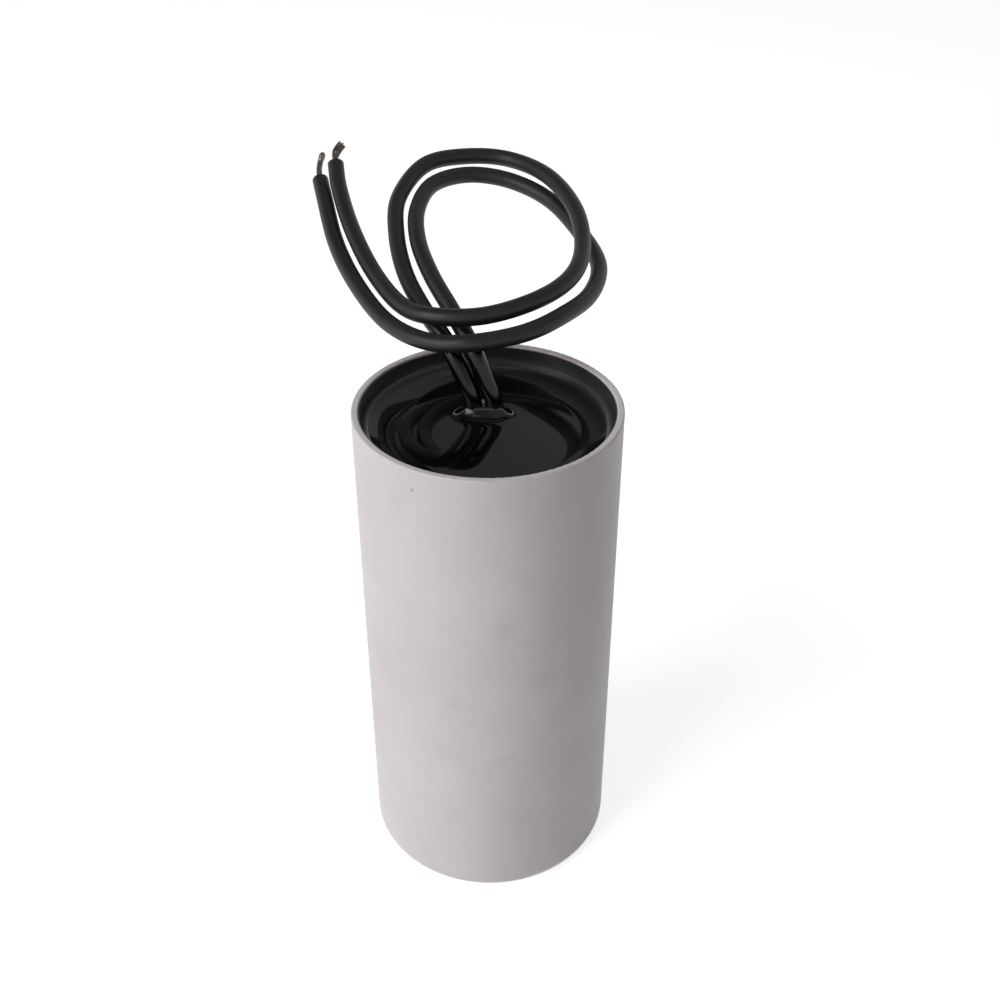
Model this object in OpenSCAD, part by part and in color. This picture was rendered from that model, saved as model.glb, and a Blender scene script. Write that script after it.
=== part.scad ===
// Motor run capacitor: a moulded round cup, a wound film element potted in
// black resin, and two insulated flying leads with stripped ends.
// Origin at the centre of the base, +Z up, millimetres.

/* [Can] */
// Outside diameter of the cup
can_d = 45; // [36:0.5:65]
// Height of the cup from base to rim
can_h = 93; // [80:1:130]
// Thickness of the side wall
can_wall = 1.2; // [0.8:0.1:2.5]
// Thickness of the floor
can_floor = 1.8; // [1.2:0.1:3.5]
// Radius of the outer edge at the base
base_edge_r = 2.6; // [1:0.1:4]
// Radius of the inner corner at the floor
floor_corner_r = 1.4; // [0.5:0.1:3]
// Radius on the two edges of the rim
rim_edge_r = 0.3; // [0.1:0.05:0.39]
// Diameter of the shallow gate well in the base
gate_well_d = 8; // [4:0.5:14]
// Depth of the gate well
gate_well_depth = 0.6; // [0.3:0.1:1]
// Diameter of the gate stub left in the well
gate_stub_d = 1.8; // [1:0.1:3]
// Length of the gate stub
gate_stub_len = 0.3; // [0.1:0.05:0.3]

/* [Potting] */
// Level of the flat resin below the rim
resin_drop = 5; // [4:0.5:10]
// Width of the gentle slope where the resin starts to rise to the wall
wall_toe_w = 4.2; // [2.4:0.1:6]
// Rise over that slope
wall_toe_h = 0.7; // [0.3:0.1:1.2]
// Radius of the curve above it, up the wall
wall_meniscus_r = 2.4; // [1.5:0.1:3]
// Bare rim left above the wetted wall
rim_bare = 0.35; // [0.3:0.05:0.8]
// Thickness of the resin film left where it wets a surface
wet_film = 0.2; // [0.1:0.05:0.4]
// Height to which the resin climbs the leads
lead_climb = 2.0; // [1:0.1:2.2]
// Width of the skirt of resin round the leads
lead_skirt = 2.4; // [2.3:0.1:4]

/* [Winding] */
// Resin between the wound element and the wall of the cup
winding_gap = 2.2; // [1:0.1:5]
// Resin between the floor and the wound element
winding_lift = 5; // [4:0.5:9]
// Resin between the wound element and the flat top of the potting
winding_cover = 14.5; // [12:0.5:20]
// Outside diameter of the core tube
core_d = 6; // [5:0.5:12]
// Wall of the core tube
core_wall = 0.8; // [0.5:0.1:0.9]
// Thickness of the sprayed metal on each end
spray_t = 0.6; // [0.3:0.1:1.2]
// Width left free of metal round the edge of each end
spray_margin = 0.8; // [0.3:0.1:2]
// Width of solder round what it joins
solder_lap = 2; // [1:0.1:2.6]
// Height of a solder joint
solder_h = 1.6; // [1:0.1:2.2]

/* [Leads] */
// Outside diameter of the insulated leads
lead_d = 3; // [2.4:0.1:3.3]
// Distance between the two leads where they leave the resin
lead_pitch = 3.5; // [3.4:0.1:5]
// Distance from the axis of the cup back to the leads
lead_back = 6; // [4.5:0.5:8]
// Distance from the axis of the cup left to the middle of the pair
lead_left = 0.75; // [0:0.25:2]
// Depth below the flat resin down to which lead B stands straight
lead_root = 2; // [1:0.5:3]
// Diameter of one tinned bundle in a stripped end
bundle_d = 0.42; // [0.4:0.02:0.7]
// Bundles laid round the middle one
bundle_count = 6; // [5:1:6]
// Length of the stripped end of lead A
strip_a_len = 4.6; // [3:0.1:8]
// Length of the stripped end of lead B
strip_b_len = 6.0; // [3:0.1:8]
// How far the bundles spread at the cut end, as a share of their place
strip_spread = 0.25; // [0:0.05:0.4]

/* [Hidden] */
$fn = 96;
lead_sides = 8;
rings_per_span = 2;
bundle_rings = 5;
bundle_twist = 80;
bundle_overlap = 0.94;
run_up = 6;
lead_straight = 1;
turn_rings = 4;

can_r = can_d / 2;
bore_r = can_r - can_wall;
resin_z = can_h - resin_drop;
winding_r = bore_r - winding_gap;
winding_z = can_floor + winding_lift;
winding_top = resin_z - winding_cover;
winding_len = winding_top - winding_z;
spray_top = winding_top + spray_t;
spray_bottom = winding_z - spray_t;
core_r = core_d / 2;
core_bore_r = core_r - core_wall;
lead_r = lead_d / 2;
lead_a_x = -lead_left - lead_pitch / 2;
lead_b_x = -lead_left + lead_pitch / 2;
exit_z = resin_z + lead_climb;

// Lead B's turn from the core out to its place beside lead A: two equal bends
cord_foot = resin_z - lead_root;
turn_rise = cord_foot - lead_straight - spray_top;
turn_out = [lead_b_x, lead_back, 0];
turn_shift = norm(turn_out);
turn_angle = 2 * atan(turn_shift / turn_rise);
turn_radius = turn_rise / (2 * sin(turn_angle));

// Route of lead A, from the point where it leaves the resin collar
ROUTE_A = [
    [0, 0, 0], [-1.5, 1, 4], [-4.5, 4, 9.5], [-8.5, 9.5, 13], [-12, 17.5, 16],
    [-14, 27.5, 19], [-14, 37, 22], [-9.5, 47, 24.5], [-1.5, 51.5, 24.5], [6.5, 51, 24],
    [13.5, 43.5, 23.5], [18, 33, 21.5], [19, 22.5, 19], [17, 13.5, 17.5],
    [11.5, 6.5, 16.5], [2.5, 3, 15], [-6, 3.5, 14.5], [-12, 8.5, 14],
    [-17.5, 18.5, 15.5], [-22, 29, 19], [-25, 38.5, 23], [-26, 43.5, 26]
];

// Route of lead B, from the point where it leaves the resin collar
ROUTE_B = [
    [0, 0, 0], [-1.5, 1, 4], [-4, 3.5, 9.5], [-7.5, 9, 13.5], [-11, 16, 16.5],
    [-13.5, 24.5, 19], [-14, 33.5, 21], [-11.5, 42, 22.5], [-5, 47, 22.5],
    [3, 46.5, 21.5], [10.5, 41.5, 19.5], [16, 32.5, 16.5], [18.5, 22.5, 15],
    [16.5, 13, 14], [11.5, 5, 14], [5, -0.5, 13.5], [-3.5, -3, 13], [-11, -0.5, 12],
    [-18, 6.5, 12], [-24, 17, 14], [-28.5, 28, 17], [-31.5, 39, 21.5], [-32.5, 43, 23]
];

// Directions in which the cut ends of the stripped conductors point
STRIP_A_AIM = [0.4, 0.7, 0.6];
STRIP_B_AIM = [0.1, 0.8, 0.6];

// ---- paths and tubes ------------------------------------------------------

function unit(v) = v / norm(v);

// Point at share t of the span from b to c of a smooth curve through a, b, c, d
function span_point(a, b, c, d, t) =
    0.5 * (2 * b + (c - a) * t + (2 * a - 5 * b + 4 * c - d) * t * t
        + (3 * b - a - 3 * c + d) * t * t * t);

// Point i of a route, with a point straight below its start and one past its end
function route_at(route, i) =
    i < 0 ? [0, 0, -run_up]
    : i < len(route) ? route[i]
    : 2 * route[len(route) - 1] - route[len(route) - 2];

// Ring centres along a route
function smooth(route) = concat(
    [for (i = [0 : len(route) - 2], k = [0 : rings_per_span - 1])
        span_point(route_at(route, i - 1), route_at(route, i), route_at(route, i + 1),
            route_at(route, i + 2), k / rings_per_span)],
    [route[len(route) - 1]]
);

// Centre line of a lead: up from its foot in the resin, then along its route
function lead_path(x, foot_z, route) = concat(
    [[x, lead_back, foot_z]],
    [for (p = smooth(route)) p + [x, lead_back, exit_z]]
);

// Direction of a path at point i
function heading(path, i) =
    i == 0 ? unit(path[1] - path[0])
    : i == len(path) - 1 ? unit(path[i] - path[i - 1])
    : unit(unit(path[i + 1] - path[i]) + unit(path[i] - path[i - 1]));

// Side direction at point i, carried along the path without twisting
function carried(path, i) =
    i == 0 ? unit(cross([0, 1, 0], heading(path, 0)))
    : let (h = heading(path, i), s = carried(path, i - 1)) unit(s - (s * h) * h);

// Round tube along a path, with one ring of corners at each of its points
module tube(path, r) {
    n = len(path);
    corners = [
        for (i = [0 : n - 1])
            let (h = heading(path, i), s = carried(path, i), u = cross(h, s))
            for (k = [0 : lead_sides - 1])
                let (a = 360 * k / lead_sides) path[i] + r * (cos(a) * s + sin(a) * u)
    ];
    walls = [
        for (i = [0 : n - 2], k = [0 : lead_sides - 1])
            let (base = i * lead_sides, next = (k + 1) % lead_sides)
            each [
                [base + k, base + next + lead_sides, base + next],
                [base + k, base + k + lead_sides, base + next + lead_sides]
            ]
    ];
    near_end = [for (k = [0 : lead_sides - 1]) k];
    far_end = [for (k = [lead_sides - 1 : -1 : 0]) (n - 1) * lead_sides + k];
    polyhedron(points = corners, faces = concat([near_end], walls, [far_end]));
}

// ---- the cup --------------------------------------------------------------

// Half section of a round block with a round lower edge
module rounded_half(r, height, edge_r) {
    square([r - edge_r, height]);
    translate([0, edge_r]) square([r, height - edge_r]);
    translate([r - edge_r, edge_r]) circle(edge_r);
}

// What is taken off the two edges of the rim to round them
module rim_corners() {
    for (side = [-1, 1])
        translate([can_r - can_wall / 2 + side * (can_wall / 2 - rim_edge_r), can_h - rim_edge_r])
            difference() {
                translate([side * rim_edge_r, rim_edge_r]) square(2 * rim_edge_r, center = true);
                circle(rim_edge_r);
            }
}

// Moulded cup, with the gate's stub in its well under the floor
module can() {
    color("white") {
        difference() {
            rotate_extrude()
                difference() {
                    rounded_half(can_r, can_h, base_edge_r);
                    translate([0, can_floor]) rounded_half(bore_r, can_h, floor_corner_r);
                    rim_corners();
                }
            translate([0, 0, -gate_well_depth])
                cylinder(h = 2 * gate_well_depth, d = gate_well_d);
        }
        translate([0, 0, gate_well_depth - gate_stub_len])
            cylinder(h = gate_stub_len, d = gate_stub_d);
    }
}

// ---- the wound element ----------------------------------------------------

// Metallised film wound on its core
module film_winding() {
    color("lightsteelblue")
        translate([0, 0, winding_z])
            difference() {
                cylinder(h = winding_len, r = winding_r);
                translate([0, 0, -winding_len]) cylinder(h = 3 * winding_len, r = core_r);
            }
}

// Tube that the film is wound on, flush with the sprayed faces
module core_outline(r) {
    translate([0, 0, spray_bottom]) cylinder(h = spray_top - spray_bottom, r = r);
}

module winding_core() {
    color("ivory")
        difference() {
            core_outline(core_r);
            translate([0, 0, -can_h]) cylinder(h = 3 * can_h, r = core_bore_r);
        }
}

// Zinc sprayed on one end of the winding, round the core
module end_spray(z) {
    color("darkgray")
        translate([0, 0, z])
            difference() {
                cylinder(h = spray_t, r = winding_r - spray_margin);
                translate([0, 0, -spray_t]) cylinder(h = 3 * spray_t, r = core_r);
            }
}

module end_spray_top() {
    end_spray(winding_top);
}

module end_spray_bottom() {
    end_spray(spray_bottom);
}

// Solder that holds lead A's conductor to the upper spray
module solder_joint_top() {
    color("silver")
        translate([lead_a_x, lead_back, spray_top])
            cylinder(h = solder_h, r1 = lead_r + solder_lap, r2 = lead_r);
}

// Solder that closes the core's lower end and holds lead B's conductor
module solder_joint_bottom() {
    color("silver")
        translate([0, 0, spray_bottom - solder_h])
            cylinder(h = solder_h, r1 = core_r, r2 = core_r + solder_lap);
}

// How far a bend of lead B has gone out and up, at angle a
function turn_step(a) =
    turn_radius * (1 - cos(a)) * unit(turn_out) + [0, 0, turn_radius * sin(a)];

// Centre line of lead B in the core tube, and of its turn out to its own place
PATH_CORE = concat(
    [[0, 0, spray_bottom]],
    [for (k = [0 : turn_rings]) [0, 0, spray_top] + turn_step(turn_angle * k / turn_rings)],
    [for (k = [turn_rings - 1 : -1 : 0])
        turn_out + [0, 0, cord_foot - lead_straight] - turn_step(turn_angle * k / turn_rings)],
    [turn_out + [0, 0, cord_foot]]
);

module lead_b_core_run() {
    color([0.1, 0.1, 0.1]) tube(PATH_CORE, lead_r);
}

// ---- the potting ----------------------------------------------------------

// Half section of the resin: flat in the middle, then a wide gentle curve, then a
// tight one that starts at the gentle curve's slope and ends upright at the wall
module resin_half() {
    film_r = bore_r - wet_film;
    toe_slope = 2 * atan(wall_toe_h / wall_toe_w);
    toe_r = wall_toe_w / sin(toe_slope);
    toe_end = film_r - wall_meniscus_r * (1 - sin(toe_slope));
    toe_start = toe_end - wall_toe_w;
    upright_z = resin_z + wall_toe_h + wall_meniscus_r * cos(toe_slope);
    difference() {
        translate([0, can_floor])
            rounded_half(bore_r, can_h - rim_bare - can_floor, floor_corner_r);
        translate([0, resin_z]) square([toe_start, resin_drop]);
        intersection() {
            translate([toe_start, resin_z]) square([wall_toe_w, resin_drop]);
            translate([toe_start, resin_z + toe_r]) circle(toe_r);
        }
        translate([film_r - wall_meniscus_r, upright_z]) circle(wall_meniscus_r);
        translate([0, upright_z]) square([film_r, resin_drop]);
    }
}

// Section of the resin that climbs a lead, outwards from the lead's axis: a hollow
// curve that starts level and meets the lead at lead_climb
module climb_half() {
    skirt_r = (lead_skirt ^ 2 + lead_climb ^ 2) / (2 * lead_climb);
    difference() {
        translate([0, -wet_film]) square([lead_r + lead_skirt, lead_climb + wet_film]);
        translate([lead_r + lead_skirt, skirt_r]) circle(skirt_r);
    }
}

// Collar of resin round the pair of leads: two round ends and a straight middle
module collar() {
    translate([-lead_left, lead_back, resin_z]) {
        for (side = [-1, 1])
            translate([side * lead_pitch / 2, 0, 0])
                rotate([0, 0, -90 * side]) rotate_extrude(angle = 180) climb_half();
        translate([-lead_pitch / 2, 0, 0])
            rotate([90, 0, 90])
                linear_extrude(lead_pitch) {
                    climb_half();
                    mirror([1, 0]) climb_half();
                }
    }
}

// Black resin, with the space in it that the element and its leads take up
module potting_resin() {
    color([0.07, 0.07, 0.075])
        difference() {
            union() {
                rotate_extrude() resin_half();
                collar();
            }
            translate([0, 0, winding_z]) cylinder(h = winding_len, r = winding_r);
            for (z = [spray_bottom, winding_top])
                translate([0, 0, z]) cylinder(h = spray_t, r = winding_r - spray_margin);
            solder_joint_top();
            solder_joint_bottom();
            lead_b_core_run();
            translate([lead_a_x, lead_back, spray_top])
                cylinder(h = can_h - spray_top, r = lead_r);
            translate([lead_b_x, lead_back, cord_foot])
                cylinder(h = can_h - cord_foot, r = lead_r);
        }
}

// ---- the flying leads -----------------------------------------------------

PATH_A = lead_path(lead_a_x, spray_top + solder_h, ROUTE_A);
PATH_B = lead_path(lead_b_x, cord_foot, ROUTE_B);

module lead_a() {
    color([0.13, 0.13, 0.14]) tube(PATH_A, lead_r);
}

module lead_b() {
    color([0.13, 0.13, 0.14]) tube(PATH_B, lead_r);
}

// Centre line of one bundle of a stripped end: it starts square to the lead's cut
// face, then leans towards aim, twists round the middle and spreads
function bundle_path(path, length, aim, place, turn) =
    let (
        last = len(path) - 1,
        h = heading(path, last),
        s = carried(path, last),
        u = cross(h, s)
    )
    [for (k = [0 : bundle_rings])
        let (
            t = k / bundle_rings,
            lean = max(0, t - 1 / bundle_rings),
            a = turn + bundle_twist * lean,
            out = place * (1 + strip_spread * lean)
        )
        path[last] + length * (t * (1 - lean) * h + t * lean * unit(aim))
            + out * (cos(a) * s + sin(a) * u)];

// Tinned conductor of a lead, laid in bundles round a middle one
module stripped_end(path, length, aim) {
    color([0.62, 0.58, 0.54]) {
        tube(bundle_path(path, length, aim, 0, 0), bundle_d / 2);
        for (k = [0 : bundle_count - 1])
            tube(
                bundle_path(path, length, aim, bundle_overlap * bundle_d, 360 * k / bundle_count),
                bundle_d / 2
            );
    }
}

module lead_a_tip() {
    stripped_end(PATH_A, strip_a_len, STRIP_A_AIM);
}

module lead_b_tip() {
    stripped_end(PATH_B, strip_b_len, STRIP_B_AIM);
}

can();
potting_resin();
film_winding();
winding_core();
end_spray_top();
end_spray_bottom();
solder_joint_top();
solder_joint_bottom();
lead_b_core_run();
lead_a();
lead_b();
lead_a_tip();
lead_b_tip();
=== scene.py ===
"""Motor run capacitor: a white moulded can filled with black resin, with two bare-ended leads.

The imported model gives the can, the resin and the wound element inside it. This script dresses
them, draws the two leads and their stripped strands as fine round sweeps, and sets up the studio.
"""

import logging
from dataclasses import dataclass, field
from enum import Enum
from math import radians
from typing import Any

import bpy
import numpy as np
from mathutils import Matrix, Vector


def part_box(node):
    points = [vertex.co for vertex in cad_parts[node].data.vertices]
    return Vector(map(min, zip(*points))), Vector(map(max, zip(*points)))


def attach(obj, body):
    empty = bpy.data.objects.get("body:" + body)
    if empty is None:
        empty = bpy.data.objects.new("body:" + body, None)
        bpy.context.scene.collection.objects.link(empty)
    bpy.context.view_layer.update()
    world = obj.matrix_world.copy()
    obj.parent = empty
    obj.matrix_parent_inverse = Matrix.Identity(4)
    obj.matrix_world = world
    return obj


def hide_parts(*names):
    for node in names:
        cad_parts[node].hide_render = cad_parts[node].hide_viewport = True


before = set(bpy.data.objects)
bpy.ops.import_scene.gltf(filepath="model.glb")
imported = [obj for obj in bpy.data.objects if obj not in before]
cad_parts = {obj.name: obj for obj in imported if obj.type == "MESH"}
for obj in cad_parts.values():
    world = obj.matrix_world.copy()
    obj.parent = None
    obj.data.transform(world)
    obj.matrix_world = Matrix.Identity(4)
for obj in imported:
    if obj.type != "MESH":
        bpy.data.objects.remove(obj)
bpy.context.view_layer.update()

logging.basicConfig(level=logging.INFO, format="%(message)s")
LOG = logging.getLogger("capacitor")

MM = 0.001
TURN = 2.0 * np.pi
STRAND_GUIDE = (-0.9, 0.3, 0.4)  # sets where a strand's sides start

Points = np.ndarray
Socket = bpy.types.NodeSocket


# ------------------------ colour and node helpers


def linear(hex_colour: str) -> tuple[float, float, float, float]:
    """Turn an sRGB hex colour into the linear colour that a shader works in.

    Args:
        hex_colour: six hex digits, such as "D8D2D4".

    Returns:
        Red, green, blue and an alpha of one, in linear light.
    """
    srgb = np.array([int(hex_colour[i:i + 2], 16) for i in (0, 2, 4)]) / 255.0
    light = np.where(srgb <= 0.04045, srgb / 12.92, ((srgb + 0.055) / 1.055) ** 2.4)
    return (*light.tolist(), 1.0)


def per_metre(size_mm: float) -> float:
    """Give the texture scale whose pattern repeats about once in size_mm of the surface."""
    return 1.0 / (size_mm * MM)


def add_node(
    tree: bpy.types.NodeTree,
    kind: str,
    inputs: dict[str | int, Any] | None = None,
    **settings: Any,
) -> bpy.types.Node:
    """Add one node, set its properties and fill or link its inputs.

    Args:
        tree: the material's or the world's node tree.
        kind: the shader node's type, such as "TexNoise".
        inputs: input names or numbers; a socket is linked and anything else is set as a value.
        settings: the node's properties and their values.

    Returns:
        The new node.
    """
    node = tree.nodes.new("ShaderNode" + kind)
    for name, value in settings.items():
        setattr(node, name, value)
    for key, value in (inputs or {}).items():
        if isinstance(value, Socket):
            tree.links.new(value, node.inputs[key])
        else:
            node.inputs[key].default_value = value
    return node


# ------------------------ finishes


@dataclass(frozen=True)
class Finish:
    """What every finish has: a name, a base colour, and how smooth and how metallic it is."""

    name: str
    base: str
    roughness: float
    metallic: float = 0.0
    ior: float = 1.5

    def surface(self, tree: bpy.types.NodeTree) -> dict[str, Any]:
        """Give the shader inputs that vary over the surface; each finish has its own.

        Args:
            tree: the material's node tree.

        Returns:
            Shader input names and the sockets or values that feed them.
        """
        return {"Base Color": linear(self.base), "Roughness": self.roughness}

    def material(self) -> bpy.types.Material:
        """Build the material once and give the same one afterwards."""
        known = bpy.data.materials.get(self.name)
        if known:
            return known
        made = bpy.data.materials.new(self.name)
        made.use_nodes = True
        tree = made.node_tree
        tree.nodes.clear()
        steady = {"Metallic": self.metallic, "IOR": self.ior}
        shader = add_node(tree, "BsdfPrincipled", steady | self.surface(tree))
        add_node(tree, "OutputMaterial", {"Surface": shader.outputs[0]})
        return made

    def dress(self, *pieces: bpy.types.Object) -> None:
        """Give the pieces this finish in place of any they came with.

        Args:
            pieces: mesh objects, CAD nodes among them.
        """
        for piece in pieces:
            piece.data.materials.clear()
            piece.data.materials.append(self.material())


@dataclass(frozen=True)
class MouldedWhitePlastic(Finish):
    """White PBT, injection moulded: satin, faintly pink, with a fine spark texture.

    The mould gives it an even sheen that breaks up any reflection. Handling leaves broad, very
    faint grey-brown smudges, and a dot of ink sits below the rim.
    """

    flow_tone: str = "DAD3D7"
    smudge_tone: str = "B9A9A6"
    ink_tone: str = "6B4C8C"
    flow_mm: float = 26.0
    smudge_mm: float = 17.0
    texture_mm: float = 0.45
    ink_place: tuple[float, float, float] = (-0.0115, -0.0193, 0.0893)
    ink_mm: float = 0.55
    rub_places: tuple[tuple[float, float, float, float], ...] = (
        (0.0030, -0.0223, 0.0640, 3.4),
        (0.0096, -0.0203, 0.0511, 4.2),
        (-0.0058, -0.0217, 0.0470, 2.6),
    )

    def surface(self, tree: bpy.types.NodeTree) -> dict[str, Any]:
        """Lay flow tone, smudges, local rubs and the ink dot over the white, and the texture.

        Args:
            tree: the material's node tree.

        Returns:
            Colour, roughness and normal for the shader.
        """
        place = add_node(tree, "TexCoord").outputs["Object"]
        flow = add_node(tree, "TexNoise", {
            "Vector": place, "Scale": per_metre(self.flow_mm), "Detail": 3.0, "Roughness": 0.55,
        })
        flow_share = add_node(tree, "MapRange", {
            "Value": flow.outputs[0], "From Min": 0.35, "From Max": 0.75,
        })
        colour = add_node(tree, "Mix", {
            "Factor": flow_share.outputs[0], 6: linear(self.base), 7: linear(self.flow_tone),
        }, data_type="RGBA").outputs[2]
        smudge = add_node(tree, "TexNoise", {
            "Vector": place, "Scale": per_metre(self.smudge_mm), "Detail": 6.0, "Roughness": 0.7,
            "Distortion": 0.6,
        })
        share = add_node(tree, "MapRange", {
            "Value": smudge.outputs[0], "From Min": 0.56, "From Max": 0.9, "To Max": 0.35,
        }).outputs[0]
        for x, y, z, reach_mm in self.rub_places:
            away = add_node(tree, "VectorMath", {
                0: place, 1: (x, y, z),
            }, operation="DISTANCE")
            near = add_node(tree, "MapRange", {
                "Value": away.outputs["Value"], "From Min": reach_mm * MM, "From Max": 0.0,
                "To Max": 0.30,
            }, interpolation_type="SMOOTHSTEP")
            broken = add_node(tree, "Math", {
                0: near.outputs[0], 1: smudge.outputs[0],
            }, operation="MULTIPLY")
            share = add_node(tree, "Math", {
                0: share, 1: broken.outputs[0],
            }, operation="ADD", use_clamp=True).outputs[0]
        colour = add_node(tree, "Mix", {
            "Factor": share, 6: colour, 7: linear(self.smudge_tone),
        }, data_type="RGBA").outputs[2]
        from_ink = add_node(tree, "VectorMath", {
            0: place, 1: self.ink_place,
        }, operation="DISTANCE")
        ink = add_node(tree, "MapRange", {
            "Value": from_ink.outputs["Value"], "From Min": self.ink_mm * MM, "From Max": 0.0,
            "To Max": 0.55,
        }, interpolation_type="SMOOTHSTEP")
        colour = add_node(tree, "Mix", {
            "Factor": ink.outputs[0], 6: colour, 7: linear(self.ink_tone),
        }, data_type="RGBA").outputs[2]
        rough = add_node(tree, "MapRange", {
            "Value": smudge.outputs[0], "From Min": 0.3, "From Max": 0.8,
            "To Min": self.roughness + 0.05, "To Max": self.roughness - 0.06,
        })
        texture = add_node(tree, "TexNoise", {
            "Vector": place, "Scale": per_metre(self.texture_mm), "Detail": 2.0,
        })
        bump = add_node(tree, "Bump", {
            "Strength": 0.12, "Distance": 0.04 * MM, "Height": texture.outputs[0],
        })
        return {"Base Color": colour, "Roughness": rough.outputs[0], "Normal": bump.outputs[0]}


@dataclass(frozen=True)
class CastBlackResin(Finish):
    """Black epoxy, poured and cured: a deep gloss that mirrors the room.

    It sets from a liquid, so its skin is smooth; only a slow swell and a little settled dust
    show on it. The thin film left up the wall dries duller, and its lighter grey is painted
    sheen that stands in for the room it mirrors. The skin that climbs the leads wrinkles a
    little and so blurs what it mirrors.
    """

    dust_tone: str = "3A3836"
    # painted sheen: the wall film's lighter grey stands in for the room it mirrors
    film_painted_sheen_tone: str = "2C2C2D"
    swell_mm: float = 9.0
    swell_depth_mm: float = 0.008
    dust_mm: float = 0.9
    film_from: float = 0.0192
    film_full: float = 0.0208
    film_roughness: float = 0.38
    collar_middle: tuple[float, float, float] = (-0.00075, 0.0060, 0.0)
    collar_from: float = 0.0046
    collar_full: float = 0.0032
    collar_roughness: float = 0.20

    def surface(self, tree: bpy.types.NodeTree) -> dict[str, Any]:
        """Lay dust specks on the black and a slow swell under the gloss.

        Args:
            tree: the material's node tree.

        Returns:
            Colour, roughness and normal for the shader.
        """
        place = add_node(tree, "TexCoord").outputs["Object"]
        dust = add_node(tree, "TexVoronoi", {
            "Vector": place, "Scale": per_metre(self.dust_mm),
        })
        speck = add_node(tree, "MapRange", {
            "Value": dust.outputs["Distance"], "From Min": 0.09, "From Max": 0.04, "To Max": 0.4,
        })
        dusty = add_node(tree, "Mix", {
            "Factor": speck.outputs[0], 6: linear(self.base), 7: linear(self.dust_tone),
        }, data_type="RGBA")
        level = add_node(tree, "Mapping", {
            "Vector": place, "Scale": (1.0, 1.0, 0.0),
        })
        reach = add_node(tree, "VectorMath", {
            0: level.outputs[0],
        }, operation="LENGTH")
        film = add_node(tree, "MapRange", {
            "Value": reach.outputs["Value"], "From Min": self.film_from,
            "From Max": self.film_full,
        }, interpolation_type="SMOOTHSTEP")
        # painted sheen: the wall film is mixed to a lighter grey in place of mirrored room light;
        # its higher roughness below is its own
        colour = add_node(tree, "Mix", {
            "Factor": film.outputs[0], 6: dusty.outputs[2], 7: linear(self.film_painted_sheen_tone),
        }, data_type="RGBA")
        swell = add_node(tree, "TexNoise", {
            "Vector": place, "Scale": per_metre(self.swell_mm), "Detail": 1.0,
        })
        bump = add_node(tree, "Bump", {
            "Strength": 1.0, "Distance": self.swell_depth_mm * MM, "Height": swell.outputs[0],
        })
        from_pair = add_node(tree, "VectorMath", {
            0: level.outputs[0], 1: self.collar_middle,
        }, operation="DISTANCE")
        collar = add_node(tree, "MapRange", {
            "Value": from_pair.outputs["Value"], "From Min": self.collar_from,
            "From Max": self.collar_full, "To Min": self.roughness,
            "To Max": self.collar_roughness,
        }, interpolation_type="SMOOTHSTEP")
        rough = add_node(tree, "Mix", {
            "Factor": film.outputs[0], 2: collar.outputs[0], 3: self.film_roughness,
        }, data_type="FLOAT")
        return {
            "Base Color": colour.outputs[2], "Roughness": rough.outputs[0],
            "Normal": bump.outputs[0],
        }


@dataclass(frozen=True)
class ExtrudedPvc(Finish):
    """Black PVC insulation, extruded: satin, with faint draw lines along the lead.

    The die leaves lines along the length; handling leaves duller and shinier stretches. Resin
    has wetted the first centimetre or so, which is blacker and glossier. The UV map runs in
    metres, with U along the lead from inside the resin and V around it.
    """

    worn_tone: str = "2B2B2E"
    wet_tone: str = "080809"
    wet_from: float = 0.0190
    wet_full: float = 0.0110
    wet_roughness: float = 0.16
    line_mm: float = 0.35
    stretch_mm: float = 11.0
    grain_mm: float = 0.3

    def surface(self, tree: bpy.types.NodeTree) -> dict[str, Any]:
        """Draw lines along the lead, fine grain and slow changes of sheen.

        Args:
            tree: the material's node tree.

        Returns:
            Colour, roughness and normal for the shader.
        """
        run = add_node(tree, "UVMap", uv_map="lead_run").outputs[0]
        place = add_node(tree, "TexCoord").outputs["Object"]
        drawn = add_node(tree, "Mapping", {
            "Vector": run, "Scale": (0.03, 1.0, 1.0),
        }, vector_type="POINT")
        lines = add_node(tree, "TexNoise", {
            "Vector": drawn.outputs[0], "Scale": per_metre(self.line_mm), "Detail": 2.0,
        })
        grain = add_node(tree, "TexNoise", {
            "Vector": place, "Scale": per_metre(self.grain_mm), "Detail": 2.0,
        })
        stretch = add_node(tree, "TexNoise", {
            "Vector": place, "Scale": per_metre(self.stretch_mm), "Detail": 4.0,
        })
        worn = add_node(tree, "MapRange", {
            "Value": stretch.outputs[0], "From Min": 0.45, "From Max": 0.8, "To Max": 0.6,
        })
        colour = add_node(tree, "Mix", {
            "Factor": worn.outputs[0], 6: linear(self.base), 7: linear(self.worn_tone),
        }, data_type="RGBA")
        rough = add_node(tree, "MapRange", {
            "Value": stretch.outputs[0], "From Min": 0.3, "From Max": 0.7,
            "To Min": self.roughness - 0.05, "To Max": self.roughness + 0.07,
        })
        along = add_node(tree, "SeparateXYZ", {0: run}).outputs[0]
        wet = add_node(tree, "MapRange", {
            "Value": along, "From Min": self.wet_from, "From Max": self.wet_full,
        }, interpolation_type="SMOOTHSTEP")
        colour = add_node(tree, "Mix", {
            "Factor": wet.outputs[0], 6: colour.outputs[2], 7: linear(self.wet_tone),
        }, data_type="RGBA")
        rough = add_node(tree, "Mix", {
            "Factor": wet.outputs[0], 2: rough.outputs[0], 3: self.wet_roughness,
        }, data_type="FLOAT")
        height = add_node(tree, "Math", {
            0: grain.outputs[0], 1: 0.4, 2: lines.outputs[0],
        }, operation="MULTIPLY_ADD")
        bump = add_node(tree, "Bump", {
            "Strength": 0.25, "Distance": 0.03 * MM, "Height": height.outputs[0],
        })
        return {
            "Base Color": colour.outputs[2], "Roughness": rough.outputs[0],
            "Normal": bump.outputs[0],
        }


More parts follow.
